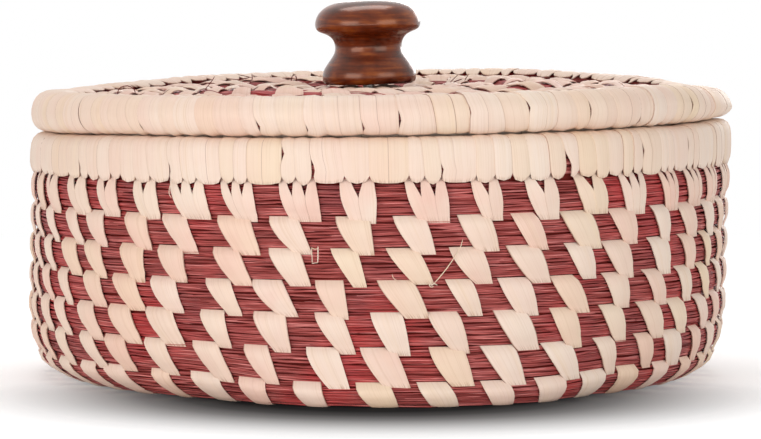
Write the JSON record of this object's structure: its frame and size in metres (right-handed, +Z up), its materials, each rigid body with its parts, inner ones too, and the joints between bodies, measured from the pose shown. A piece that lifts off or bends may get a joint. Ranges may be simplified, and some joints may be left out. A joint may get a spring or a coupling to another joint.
{
  "type": "lidded coiled bread basket",
  "caption": "Round coiled bread basket of dyed fibre bound with pale leaf strips, with a flat lift-off lid and a turned wooden knob.",
  "frame": {"origin": "middle of the basket, on the surface it stands on", "axes": "+Z up along the lid's lift, -Y the front, the knob 4.8 mm off the middle towards -X"},
  "size_m": [0.281, 0.281, 0.1503],
  "materials": {
    "dyed_fibre": "matt dyed grass fibre",
    "palm_leaf": "satin dried leaf strip",
    "turned_wood": "gloss red-brown varnish",
    "plated_steel": "zinc plated"
  },
  "bodies": {
    "basket": {"base_coil": "dyed_fibre", "base_knot": "palm_leaf", "wall_coil": "dyed_fibre", "rim_core": "dyed_fibre", "rim_strip_01": "palm_leaf", "rim_strip_02": "palm_leaf", "rim_strip_03": "palm_leaf", "rim_strip_04": "palm_leaf", "rim_strip_05": "palm_leaf", "rim_strip_06": "palm_leaf", "rim_strip_07": "palm_leaf", "rim_strip_08": "palm_leaf", "rim_strip_09": "palm_leaf", "rim_strip_10": "palm_leaf", "rim_strip_11": "palm_leaf", "rim_strip_12": "palm_leaf", "rim_strip_13": "palm_leaf", "rim_strip_14": "palm_leaf", "rim_strip_15": "palm_leaf", "rim_strip_16": "palm_leaf"},
    "lid": {"lid_coil": "dyed_fibre", "lid_rim_core": "dyed_fibre", "lid_rim_strip_01": "palm_leaf", "lid_rim_strip_02": "palm_leaf", "lid_rim_strip_03": "palm_leaf", "lid_rim_strip_04": "palm_leaf", "lid_rim_strip_05": "palm_leaf", "lid_rim_strip_06": "palm_leaf", "lid_rim_strip_07": "palm_leaf", "lid_rim_strip_08": "palm_leaf", "lid_rim_strip_09": "palm_leaf", "lid_rim_strip_10": "palm_leaf", "lid_rim_strip_11": "palm_leaf", "lid_rim_strip_12": "palm_leaf", "lid_rim_strip_13": "palm_leaf", "lid_rim_strip_14": "palm_leaf", "lid_rim_strip_15": "palm_leaf", "lid_rim_strip_16": "palm_leaf", "lid_locating_ring": "palm_leaf", "knob": "turned_wood", "knob_washer": "plated_steel", "knob_screw": "plated_steel"}
  },
  "joints": [
    {"name": "lid_lift", "type": "slide", "parent": "basket", "child": "lid", "axis": [0, 0, 1], "range_m": [0, 0.15]}
  ]
}
